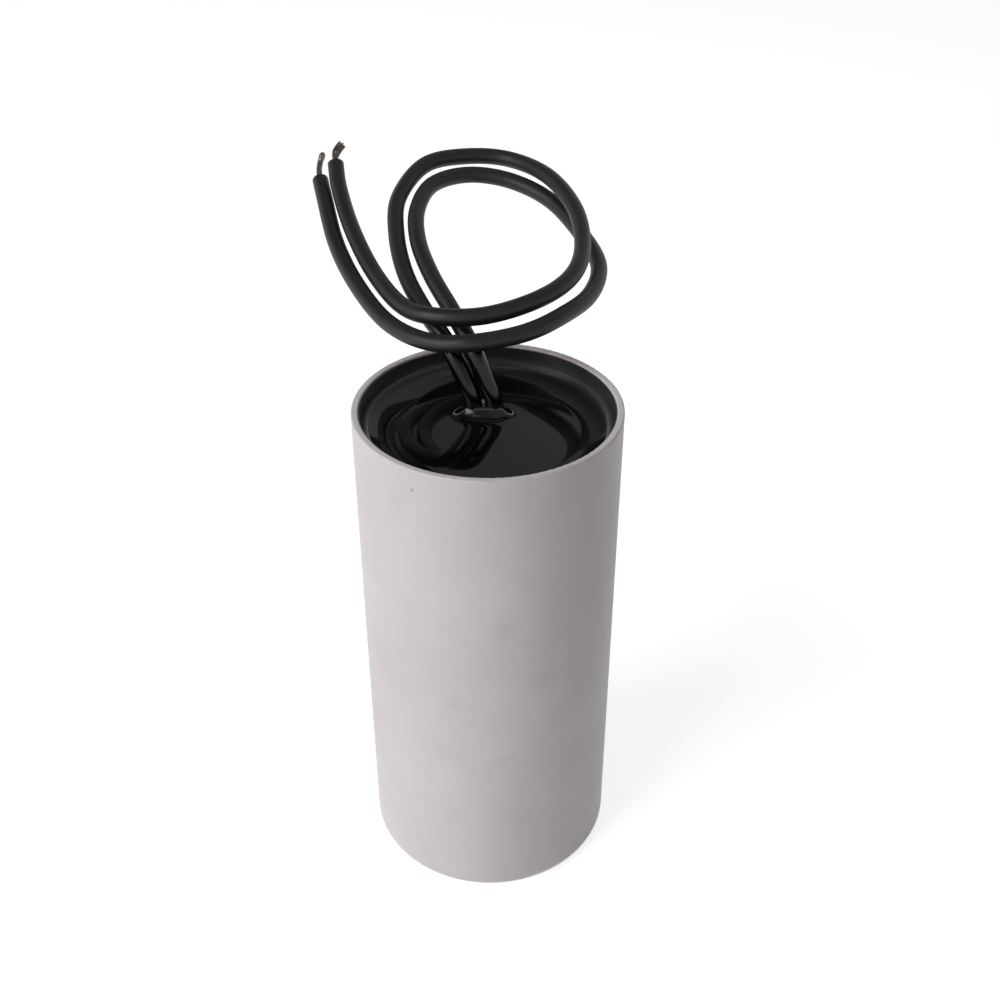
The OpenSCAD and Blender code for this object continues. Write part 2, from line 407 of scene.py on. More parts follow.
@dataclass(frozen=True)
class MottledMetal(Finish):
    """A metal whose surface is mottled in two tones with a grain of its own.

    Tinned copper wire shows brown where the tin is thin, solder freezes with a fine frost, and
    zinc sprayed on the winding's ends sets as a coarse grey crust.
    """

    second_tone: str = "8A8884"
    mottle_mm: float = 1.2
    grain_mm: float = 0.3
    grain_depth_mm: float = 0.03
    spread: float = 0.1

    def surface(self, tree: bpy.types.NodeTree) -> dict[str, Any]:
        """Mix the two tones by a broken noise and roughen by a finer one.

        Args:
            tree: the material's node tree.

        Returns:
            Colour, roughness and normal for the shader.
        """
        place = add_node(tree, "TexCoord").outputs["Object"]
        mottle = add_node(tree, "TexNoise", {
            "Vector": place, "Scale": per_metre(self.mottle_mm), "Detail": 5.0,
            "Roughness": 0.65,
        })
        share = add_node(tree, "MapRange", {
            "Value": mottle.outputs[0], "From Min": 0.38, "From Max": 0.66,
        })
        colour = add_node(tree, "Mix", {
            "Factor": share.outputs[0], 6: linear(self.base), 7: linear(self.second_tone),
        }, data_type="RGBA")
        rough = add_node(tree, "MapRange", {
            "Value": mottle.outputs[0], "To Min": self.roughness - self.spread,
            "To Max": self.roughness + self.spread,
        })
        grain = add_node(tree, "TexNoise", {
            "Vector": place, "Scale": per_metre(self.grain_mm), "Detail": 3.0,
        })
        bump = add_node(tree, "Bump", {
            "Strength": 0.5, "Distance": self.grain_depth_mm * MM, "Height": grain.outputs[0],
        })
        return {
            "Base Color": colour.outputs[2], "Roughness": rough.outputs[0],
            "Normal": bump.outputs[0],
        }


@dataclass(frozen=True)
class WoundFilm(Finish):
    """Metallised polypropylene film, wound: silvery, with the edges of its turns as fine rings.

    The film is a few thousandths of a millimetre thick, far too fine to show, so its turns are
    drawn as rings ring_mm apart about the can's axis. The wave texture runs through 20 radians
    for each unit of its scale.
    """

    turn_tone: str = "8F9299"
    ring_mm: float = 2.5

    def surface(self, tree: bpy.types.NodeTree) -> dict[str, Any]:
        """Draw the turns as rings about the vertical axis.

        Args:
            tree: the material's node tree.

        Returns:
            Colour, roughness and normal for the shader.
        """
        place = add_node(tree, "TexCoord").outputs["Object"]
        rings = add_node(tree, "TexWave", {
            "Vector": place, "Scale": per_metre(self.ring_mm) * TURN / 20.0, "Distortion": 0.4,
            "Detail": 1.0,
        }, wave_type="RINGS", rings_direction="Z")
        colour = add_node(tree, "Mix", {
            "Factor": rings.outputs["Fac"], 6: linear(self.base), 7: linear(self.turn_tone),
        }, data_type="RGBA")
        bump = add_node(tree, "Bump", {
            "Strength": 0.3, "Distance": 0.03 * MM, "Height": rings.outputs["Fac"],
        })
        return {
            "Base Color": colour.outputs[2], "Roughness": self.roughness,
            "Normal": bump.outputs[0],
        }


CASE_PLASTIC = MouldedWhitePlastic("injection_moulded_white_pbt", "E5DFE2", 0.46)
RESIN = CastBlackResin("cast_black_epoxy", "0A0A0B", 0.04)
INSULATION = ExtrudedPvc("extruded_black_pvc", "1F1F21", 0.45, ior=1.40)
STRANDS = MottledMetal("tinned_copper_wire", "857C76", 0.45, 1.0, second_tone="64544A")
SOLDER = MottledMetal(
    "frozen_tin_solder", "968F89", 0.36, 1.0, second_tone="6C645E", mottle_mm=0.8
)
ZINC = MottledMetal(
    "sprayed_zinc_crust", "9A9DA0", 0.7, 0.9, second_tone="74777A", grain_mm=0.5,
    grain_depth_mm=0.15,
)
FILM = WoundFilm("wound_metallised_polypropylene_film", "C4C7CC", 0.3, 0.8)
CORE_TUBE = MottledMetal(
    "extruded_natural_polypropylene", "DAD6CA", 0.45, 0.0, second_tone="CEC9BB",
    mottle_mm=6.0, grain_mm=0.8, grain_depth_mm=0.01,
)


# ------------------------ shapes


class LeadEnd(Enum):
    """How the stripped strands of a lead finish."""

    SPLAYED = "splayed"
    TINNED = "tinned"


def unit(vectors: Points) -> Points:
    """Scale each vector to a length of one."""
    return vectors / np.linalg.norm(vectors, axis=-1, keepdims=True)


def arc_length(line: Points) -> Points:
    """Give the distance run along a line at each of its points, from zero."""
    return np.concatenate([[0.0], np.cumsum(np.linalg.norm(np.diff(line, axis=0), axis=1))])


def smooth_route(knots: Points, per_span: int, soften: int) -> Points:
    """Run a smooth line through knots.

    Each span is a cubic in t between two knots, whose slopes there are half the difference of
    the knots on each side. Neighbours are then averaged a few times, which evens the change
    of bend where two cubics meet.

    Args:
        knots: the points that the line passes, with one helper before the first and after the
            last.
        per_span: points in each span.
        soften: times that neighbours are averaged.

    Returns:
        The line's points.
    """
    t = np.arange(per_span)[None, :, None] / per_span
    a, b, c, d = (knots[k:len(knots) - 3 + k, None, :] for k in range(4))
    line = 0.5 * (2 * b + (c - a) * t + (2 * a - 5 * b + 4 * c - d) * t**2
                  + (3 * b - a - 3 * c + d) * t**3)
    line = np.vstack([line.reshape(-1, 3), knots[-2]])
    for _ in range(soften):
        line[1:-1] = 0.25 * line[:-2] + 0.5 * line[1:-1] + 0.25 * line[2:]
    return line


def carried_frame(line: Points, guide: tuple[float, float, float]) -> tuple[Points, Points, Points]:
    """Give the heading and two side directions along a line, with no twist between points.

    A side is first the guide less its share along the heading. The turn from one side,
    carried to the next heading by the smallest rotation, to the next side is then added up
    along the line and taken off again, so that the sides are carried without twist.

    Args:
        line: the points.
        guide: a direction that the line never runs along.

    Returns:
        Headings, first sides and second sides, one row for each point.
    """
    ahead = unit(np.gradient(line, axis=0))
    guided = np.asarray(guide, float)
    side = unit(guided - (ahead @ guided)[:, None] * ahead)
    axis = np.cross(ahead[:-1], ahead[1:])
    cosine = np.sum(ahead[:-1] * ahead[1:], axis=1, keepdims=True)
    kept = side[:-1]
    moved = (kept * cosine + np.cross(axis, kept)
             + axis * np.sum(axis * kept, axis=1, keepdims=True) / (1.0 + cosine))
    over = np.cross(ahead[1:], moved)
    twist = np.arctan2(np.sum(side[1:] * over, axis=1), np.sum(side[1:] * moved, axis=1))
    angle = -np.concatenate([[0.0], np.cumsum(twist)])[:, None]
    other = np.cross(ahead, side)
    first = side * np.cos(angle) + other * np.sin(angle)
    return ahead, first, np.cross(ahead, first)


def ring_mesh(first: Points, rings: Points, last: Points) -> tuple[Points, list[tuple[int, ...]]]:
    """Join rings of corners into one closed skin that has a pole at each end.

    Args:
        first: the pole before the first ring.
        rings: the corners, as an array of rings by corners by three.
        last: the pole after the last ring.

    Returns:
        Corners, and faces as tuples of corner numbers. They point outwards where each ring
        turns clockwise as seen from the first pole.
    """
    count, sides = rings.shape[:2]
    corners = np.vstack([first, rings.reshape(-1, 3), last])
    here = np.arange(sides)
    after = (here + 1) % sides
    start = 1 + sides * np.arange(count - 1)[:, None]
    walls = np.stack([start + here, start + after, start + after + sides,
                      start + here + sides], axis=-1).reshape(-1, 4)
    end = 1 + sides * (count - 1)
    near = np.stack([np.zeros_like(here), 1 + after, 1 + here], axis=-1)
    far = np.stack([np.full_like(here, len(corners) - 1), end + here, end + after], axis=-1)
    return corners, [tuple(f) for group in (walls, near, far) for f in group.tolist()]


@dataclass
class Sweep:
    """A closed round sweep: a radius carried along a line, with a pole at each end.

    A point of ring i at angle q is line[i] + radius[i] times (cos q times the first side plus
    sin q times the second). The first and the last ring shrink to one point each.
    """

    line: Points
    radius: Points
    sides: int = 32
    guide: tuple[float, float, float] = (-0.5, -0.5, 0.7)

    def mesh_arrays(self) -> tuple[Points, list[tuple[int, ...]]]:
        """Work out the corners and the faces.

        Returns:
            Corners, and faces as tuples of corner numbers that point outwards.
        """
        _, first, second = carried_frame(self.line, self.guide)
        q = np.arange(self.sides) * TURN / self.sides
        ring = first[:, None, :] * np.cos(q)[:, None] + second[:, None, :] * np.sin(q)[:, None]
        rings = (self.line[:, None, :] + self.radius[:, None, None] * ring)[1:-1]
        return ring_mesh(self.line[0], rings, self.line[-1])


def add_mesh(
    name: str, shapes: list[tuple[Points, list[tuple[int, ...]]]]
) -> bpy.types.Object:
    """Put one or more closed skins into one smooth-shaded mesh object at the origin.

    Args:
        name: the object's name.
        shapes: the corners and the faces of each skin.

    Returns:
        The object, linked to the scene.
    """
    corners: list[Points] = []
    faces: list[tuple[int, ...]] = []
    total = 0
    for points, loops in shapes:
        corners.append(points)
        faces.extend(tuple(k + total for k in loop) for loop in loops)
        total += len(points)
    mesh = bpy.data.meshes.new(name)
    mesh.from_pydata(np.vstack(corners).tolist(), [], faces)
    mesh.polygons.foreach_set("use_smooth", np.ones(len(mesh.polygons), bool))
    mesh.update()
    made = bpy.data.objects.new(name, mesh)
    bpy.context.scene.collection.objects.link(made)
    return made


# ------------------------ the can and what it holds


@dataclass
class Can:
    """The white moulded can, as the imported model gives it."""

    node: str = "can"

    def build(self) -> list[bpy.types.Object]:
        """Dress the can in moulded plastic."""
        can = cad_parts[self.node]
        CASE_PLASTIC.dress(can)
        return [can]


@dataclass
class Resin:
    """The cured resin as one fine closed skin, so that its mirror-like top bends light evenly.

    Rings of corners run from the middle of the lead pair outwards: over the collar round the
    leads, across the flat, up the gentle toe and the tight curve to the film on the wall,
    over the film's edge, and down the wall and across the floor of the can. Lengths are in
    metres.
    """

    level: float = 0.0880
    bore: float = 0.0213
    film: float = 0.0002
    film_top: float = 0.09265
    toe_width: float = 0.0042
    toe_rise: float = 0.0007
    wall_curve: float = 0.0024
    can_floor: float = 0.0018
    floor_corner: float = 0.0014
    pair_middle: tuple[float, float] = (-0.00075, 0.0060)
    half_pitch: float = 0.00175
    lead_radius: float = 0.0015
    climb: float = 0.0020
    skirt: float = 0.0024
    lump: float = 0.09
    lean: float = 0.0009
    sides: int = 256

    def _round_rings(self) -> Points:
        """Give the radius and height of each ring about the can's axis, from the flat outwards.

        The toe is an arc that starts level and rises toe_rise over toe_width. The curve above
        it starts at the toe's slope and ends upright at the film. Then come the film's rounded
        edge, the wall, the quarter round at the floor and the floor.
        """
        inner = self.bore - self.film
        slope = 2 * np.arctan(self.toe_rise / self.toe_width)
        toe_curve = self.toe_width / np.sin(slope)
        toe_end = inner - self.wall_curve * (1 - np.sin(slope))
        upright = self.level + self.toe_rise + self.wall_curve * np.cos(slope)
        a = np.linspace(0.0, slope, 20)[:, None]
        toe = np.hstack([toe_end - self.toe_width + toe_curve * np.sin(a),
                         self.level + toe_curve * (1 - np.cos(a))])
        b = np.linspace(slope, np.pi / 2, 26)[1:, None]
        curve = np.hstack([inner - self.wall_curve * (1 - np.sin(b)),
                           upright - self.wall_curve * np.cos(b)])
        half = self.film / 2
        rise = np.linspace(upright, self.film_top - half, 5)[1:-1, None]
        film = np.hstack([np.full_like(rise, inner), rise])
        c = np.linspace(0.0, np.pi, 9)[:, None]
        edge = np.hstack([self.bore - half * (1 + np.cos(c)),
                          self.film_top - half * (1 - np.sin(c))])
        d = np.linspace(0.0, np.pi / 2, 8)[:, None]
        foot = np.hstack([self.bore - self.floor_corner * (1 - np.cos(d)),
                          self.can_floor + self.floor_corner * (1 - np.sin(d))])
        inwards = np.linspace(self.bore - self.floor_corner, 0.001, 6)[1:, None]
        base = np.hstack([inwards, np.full_like(inwards, self.can_floor)])
        return np.vstack([toe, curve, film, edge, foot, base])

    def _ovals(self, reach: Points, q: Points) -> Points:
        """Give ovals round the pair of leads, one for each reach from the leads' axes.

        A point at angle q is the pair's middle plus half the pitch times tanh(2.5 cos q)
        across, plus the reach times (cos q, -sin q), so the sides are almost straight.
        """
        across = self.half_pitch * np.tanh(2.5 * np.cos(q)) + reach[:, None] * np.cos(q)
        along = -reach[:, None] * np.sin(q)
        return np.stack([self.pair_middle[0] + across, self.pair_middle[1] + along], axis=-1)

    def build(self) -> list[bpy.types.Object]:
        """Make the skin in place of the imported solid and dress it.

        The collar's section is a hollow arc that starts level, skirt away from the leads, and
        meets them at the climb; a few percent of low lumps go round it, and its foot leans
        forward a little.
        """
        q = np.arange(self.sides) * TURN / self.sides
        section = self._round_rings()
        top = self.level + self.climb
        arc = (self.skirt**2 + self.climb**2) / (2 * self.climb)
        steep = np.arcsin(self.skirt / arc)
        a = np.linspace(steep, 0.0, 30)
        away = self.skirt - arc * np.sin(a)
        climb = arc * (1 - np.cos(a))
        lumps = 1 + self.lump * (np.sin(2 * q + 0.5) + 0.6 * np.sin(5 * q)) / 1.6
        heights = self.level + climb[:, None] * lumps
        ovals = self._ovals(self.lead_radius + away, q)
        ovals[..., 1] -= self.lean * (away / self.skirt)[:, None]
        collar = np.dstack([ovals, heights])
        share = np.array([0.05, 0.35, 0.7, 0.93])[:, None, None]
        middle = np.array([*self.pair_middle, top])
        crown = middle + share * (collar[:1] - middle)
        turn = np.stack([np.cos(q), -np.sin(q)], axis=-1)
        round_part = np.dstack([
            section[:, :1, None] * turn[None],
            np.broadcast_to(section[:, 1:, None], (len(section), self.sides, 1)),
        ])
        share = np.linspace(0.0, 1.0, 16)[1:-1, None, None]
        flat = collar[-1:] + share * (round_part[:1] - collar[-1:])
        rings = np.vstack([crown, collar, flat, round_part])
        bottom = np.array([0.0, 0.0, self.can_floor])
        skin = add_mesh("resin_skin", [ring_mesh(middle, rings, bottom)])
        RESIN.dress(skin)
        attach(skin, "root")
        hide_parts("potting_resin")
        return [skin]


@dataclass
class Filling:
    """The wound element in the resin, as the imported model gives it."""

    finishes: dict[str, Finish] = field(default_factory=lambda: {
        "film_winding": FILM,
        "winding_core": CORE_TUBE,
        "end_spray_top": ZINC,
        "end_spray_bottom": ZINC,
        "solder_joint_top": SOLDER,
        "solder_joint_bottom": SOLDER,
        "lead_b_core_run": INSULATION,
    })

    def build(self) -> list[bpy.types.Object]:
        """Dress each piece of the filling in its own finish."""
        for node, finish in self.finishes.items():
            finish.dress(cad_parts[node])
        return [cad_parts[node] for node in self.finishes]


# ------------------------ the leads


@dataclass
class Lead:
    """One insulated lead with its stripped strands.

    The insulation is a round sweep along the route from inside the resin to the cut; its end
    has a small rounded edge, a flat ring and a bore. The strands lie in that bore as a bundle
    of helices: one in the middle, six round it and twelve round those.
    """

    name: str
    exit: tuple[float, float, float]
    route: tuple[tuple[float, float, float], ...]
    free_length: float
    strip: float
    aim: tuple[float, float, float]
    ending: LeadEnd
    diameter: float = 0.0030
    bore: float = 0.0014
    rooted: float = 0.0020
    cut_edge: float = 0.00014
    strand: float = 0.00023
    splay: float = 0.70
    lay_turns: float = 0.32
    strand_root: float = 0.22
    strand_points: int = 30
    lean_power: float = 1.5
    lean_share: float = 0.8
    drop_half: float = 0.00066
    drop_points: int = 9
    per_span: int = 22

    def centreline(self) -> Points:
        """Give the lead's centreline, from inside the resin to the cut end."""
        exit_point = np.asarray(self.exit)
        helper = exit_point + [0.0, 0.0, -0.006]
        knots = np.vstack([helper, exit_point + np.asarray(self.route)])
        knots = np.vstack([knots, 2 * knots[-1] - knots[-2]])
        line = smooth_route(knots, self.per_span, soften=6)
        foot = np.linspace([0.0, 0.0, -self.rooted], [0.0, 0.0, 0.0], 6)[:-1] + exit_point
        return np.vstack([foot, line])

    def insulation(self) -> bpy.types.Object:
        """Sweep the insulation along the centreline, and map it along and around in metres.

        The radius is constant with a slow change of 1 percent, then follows a quarter round at
        the cut, steps in over the flat ring to the bore, and goes back along the bore.

        Returns:
            The insulation's object.
        """
        line = self.centreline()
        run = arc_length(line)
        half = self.diameter / 2
        body = run < run[-1] - 2.5 * self.cut_edge
        line, run = line[body], run[body]
        end = self.centreline()[-1]
        ahead = unit(end - line[-1])
        turn = np.linspace(0.0, np.pi / 2, 6)
        edge_step = -self.cut_edge * (1 - np.sin(turn))
        edge_radius = half - self.cut_edge * (1 - np.cos(turn))
        bore_step = np.array([-0.00002, -0.0006, -0.0012, -0.0012])
        bore_radius = np.array([1.0, 0.98, 0.96, 0.0]) * self.bore / 2
        ring_radius = np.array([0.5 * (half + self.bore / 2)])
        steps = np.concatenate([edge_step, [0.0], bore_step])
        tail = end + steps[:, None] * ahead
        slow = 1.0 + 0.010 * np.sin(run / 0.0061) * np.sin(run / 0.0173 + 1.0)
        radius = np.concatenate([[0.0], half * slow, edge_radius, ring_radius, bore_radius])
        sweep = Sweep(np.vstack([line[:1], line, tail]), radius)
        self._nudge_poles(sweep)
        made = add_mesh(self.name + "_insulation", [sweep.mesh_arrays()])
        self._map_run(made, sweep)
        return made

    @staticmethod
    def _nudge_poles(sweep: Sweep) -> None:
        """Part points of the line that coincide, so that each has a heading of its own."""
        gaps = np.linalg.norm(np.diff(sweep.line, axis=0), axis=1) < 1e-9
        spots = np.flatnonzero(gaps) + 1
        sweep.line[spots] += 1e-7 * unit(sweep.line[-20] - sweep.line[-21])

    @staticmethod
    def _map_run(piece: bpy.types.Object, sweep: Sweep) -> None:
        """Write a UV map in metres, U along the sweep and V around it.

        Args:
            piece: the object made from the sweep.
            sweep: the sweep.
        """
        mesh = piece.data
        rings = len(sweep.line) - 2
        along = np.repeat(arc_length(sweep.line[1:-1]), sweep.sides)
        around = np.tile(np.arange(sweep.sides) / sweep.sides * TURN * sweep.radius[5], rings)
        whole = TURN * sweep.radius[5]
        uv = np.zeros((len(mesh.vertices), 2))
        uv[1:-1, 0] = along
        uv[1:-1, 1] = around
        uv[-1, 0] = along[-1]
        corner = np.zeros(len(mesh.loops), int)
        mesh.loops.foreach_get("vertex_index", corner)
        start = np.zeros(len(mesh.polygons), int)
        size = np.zeros(len(mesh.polygons), int)
        mesh.polygons.foreach_get("loop_start", start)
        mesh.polygons.foreach_get("loop_total", size)
        loop_uv = uv[corner]
        face = np.repeat(np.arange(len(size)), size)
        low = np.full(len(size), np.inf)
        np.minimum.at(low, face, loop_uv[:, 1])
        high = np.full(len(size), -np.inf)
        np.maximum.at(high, face, loop_uv[:, 1])
        wraps = (high - low > whole / 2)[face] & (loop_uv[:, 1] < whole / 4)
        loop_uv[wraps, 1] += whole
        layer = mesh.uv_layers.new(name="lead_run")
        layer.data.foreach_set("uv", loop_uv.ravel().astype(np.float32))

    def strands(self) -> bpy.types.Object:
        """Twist the strands into a bundle that leans towards its aim.

        The bundle's axis leaves the cut along the lead's heading and leans over to the aim by
        lean_share times the lean_power of the distance. A splayed bundle opens across and
        flattens over its last half, by a smooth step.

        Returns:
            The strands' object, with a frozen drop of solder over the end of a tinned lead.
        """
        line = self.centreline()
        ahead = unit(line[-1] - line[-4])
        t = np.linspace(-self.strand_root, 1.0, self.strand_points)
        lean = self.lean_share * np.clip(t, 0.0, None) ** self.lean_power
        axis = line[-1] + self.strip * (t * (1 - lean))[:, None] * ahead
        axis = axis + self.strip * (t * lean)[:, None] * unit(np.asarray(self.aim))
        _, across, over = carried_frame(axis, STRAND_GUIDE)
        splayed = self.ending is LeadEnd.SPLAYED
        opened = np.clip((t - 0.15) / 0.5, 0.0, 1.0)[:, None]
        opened = opened * opened * (3 - 2 * opened)
        wide = across * (1 + (self.splay * opened if splayed else 0.0))
        thin = over * (1 - (0.25 * opened if splayed else 0.0))
        rng = np.random.default_rng(len(self.name) + ord(self.name[-1]))
        sweeps = [self._strand(axis, 0.0, 0.0, wide, thin, t, 1.0)]
        for ring, count in ((1, 6), (2, 12)):
            for k in range(count):
                phase = TURN * (k + 0.5 * ring) / count + rng.uniform(-0.1, 0.1)
                out = ring * self.strand * rng.uniform(0.90, 0.97)
                cut = 1.0 - rng.uniform(0.0, 0.14)
                sweeps.append(self._strand(axis, out, phase, wide, thin, t, cut))
        if not splayed:
            sweeps.append(self._drop(axis))
        return add_mesh(self.name + "_strands", [sweep.mesh_arrays() for sweep in sweeps])

    def _strand(
        self,
        axis: Points,
        out: float,
        phase: float,
        wide: Points,
        thin: Points,
        t: Points,
        cut: float,
    ) -> Sweep:
        """Make one strand of the bundle.

        Its place is the axis plus out times (cos of the angle times wide plus sin of the angle
        times thin), and the angle grows from its phase by the lay.

        Args:
            axis: the bundle's axis.
            out: the strand's distance from the axis where the bundle is round.
            phase: its angle at the cut of the insulation.
            wide: side directions across the bundle, longer than one where it has opened.
            thin: side directions over the bundle, shorter than one where it has flattened.
            t: share of the stripped length at each point, from below zero inside the bore.
            cut: share of the stripped length that this strand has.

        Returns:
            The strand as a closed sweep.
        """
        angle = (phase + TURN * self.lay_turns * t)[:, None]
        line = axis + out * (np.cos(angle) * wide + np.sin(angle) * thin)
        line = line[t <= cut]
        ahead = unit(line[-1] - line[-2])
        line = np.vstack([line[0] - 1e-6 * ahead, line, line[-1] + 0.00004 * ahead])
        radius = np.full(len(line), self.strand / 2)
        radius[[0, -1]] = 0.0
        radius[-2] *= 0.85
        return Sweep(line, radius, sides=8, guide=STRAND_GUIDE)

    def _drop(self, axis: Points) -> Sweep:
        """Cover the bundle's end with a frozen drop, widest just short of its tip.

        Its radius is its half width times the square root of sine over the last part of the
        bundle, with a low lump along it.

        Args:
            axis: the bundle's axis.

        Returns:
            The drop as a closed sweep.
        """
        line = axis[-self.drop_points:]
        share = np.linspace(0.0, 1.0, 22)
        place = share * (len(line) - 1)
        path = np.stack([np.interp(place, np.arange(len(line)), line[:, k]) for k in range(3)],
                        axis=1)
        path = path + 0.0003 * share[:, None] * unit(path[-1] - path[-2])
        swell = np.sqrt(np.clip(np.sin(np.pi * share**1.25), 0, 1))
        radius = self.drop_half * swell * (1 + 0.07 * np.sin(9 * share))
        radius[[0, -1]] = 0.0
        return Sweep(path, radius, sides=20, guide=STRAND_GUIDE)

    def build(self) -> list[bpy.types.Object]:
        """Returns:
            The two pieces.
        """
        cover = self.insulation()
        wires = self.strands()
        INSULATION.dress(cover)
        (SOLDER if self.ending is LeadEnd.TINNED else STRANDS).dress(wires)
        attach(cover, "root")
        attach(wires, "root")
        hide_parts(self.name)
        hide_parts(self.name + "_tip")
        self.centreline().tolist()
        return [cover, wires]


LEAD_A = Lead(
    name="lead_a",
    exit=(-0.0025, 0.006, 0.090),
    route=(
        (0.0, 0.0, 0.0), (-0.0015, 0.001, 0.004), (-0.0045, 0.004, 0.0095),
        (-0.0085, 0.0095, 0.013), (-0.012, 0.0175, 0.016), (-0.014, 0.0275, 0.019),
        (-0.014, 0.037, 0.022), (-0.0095, 0.047, 0.0245), (-0.0015, 0.0515, 0.0245),
        (0.0065, 0.051, 0.024), (0.0135, 0.0435, 0.0235), (0.018, 0.033, 0.0215),
        (0.019, 0.0225, 0.019), (0.017, 0.0135, 0.0175), (0.0115, 0.0065, 0.0165),
        (0.0025, 0.003, 0.015), (-0.006, 0.0035, 0.0145), (-0.012, 0.0085, 0.014),
        (-0.0175, 0.0185, 0.0155), (-0.022, 0.029, 0.019), (-0.025, 0.0385, 0.023),
        (-0.026, 0.0435, 0.026),
    ),
    free_length=0.196,
    strip=0.0046,
    aim=(0.4, 0.7, 0.6),
    ending=LeadEnd.SPLAYED,
)

LEAD_B = Lead(
    name="lead_b",
    exit=(0.001, 0.006, 0.090),
    route=(
        (0.0, 0.0, 0.0), (-0.0015, 0.001, 0.004), (-0.004, 0.0035, 0.0095),
        (-0.0075, 0.009, 0.0135), (-0.011, 0.016, 0.0165), (-0.0135, 0.0245, 0.019),
        (-0.014, 0.0335, 0.021), (-0.0115, 0.042, 0.0225), (-0.005, 0.047, 0.0225),
        (0.003, 0.0465, 0.0215), (0.0105, 0.0415, 0.0195), (0.016, 0.0325, 0.0165),
        (0.0185, 0.0225, 0.015), (0.0165, 0.013, 0.014), (0.0115, 0.005, 0.014),
        (0.005, -0.0005, 0.0135), (-0.0035, -0.003, 0.013), (-0.011, -0.0005, 0.012),
        (-0.018, 0.0065, 0.012), (-0.024, 0.017, 0.014), (-0.0285, 0.028, 0.017),
        (-0.0315, 0.039, 0.0215), (-0.0325, 0.043, 0.023),
    ),
    free_length=0.198,
    strip=0.0060,
    aim=(0.1, 0.8, 0.6),
    ending=LeadEnd.TINNED,
)


# ------------------------ the studio


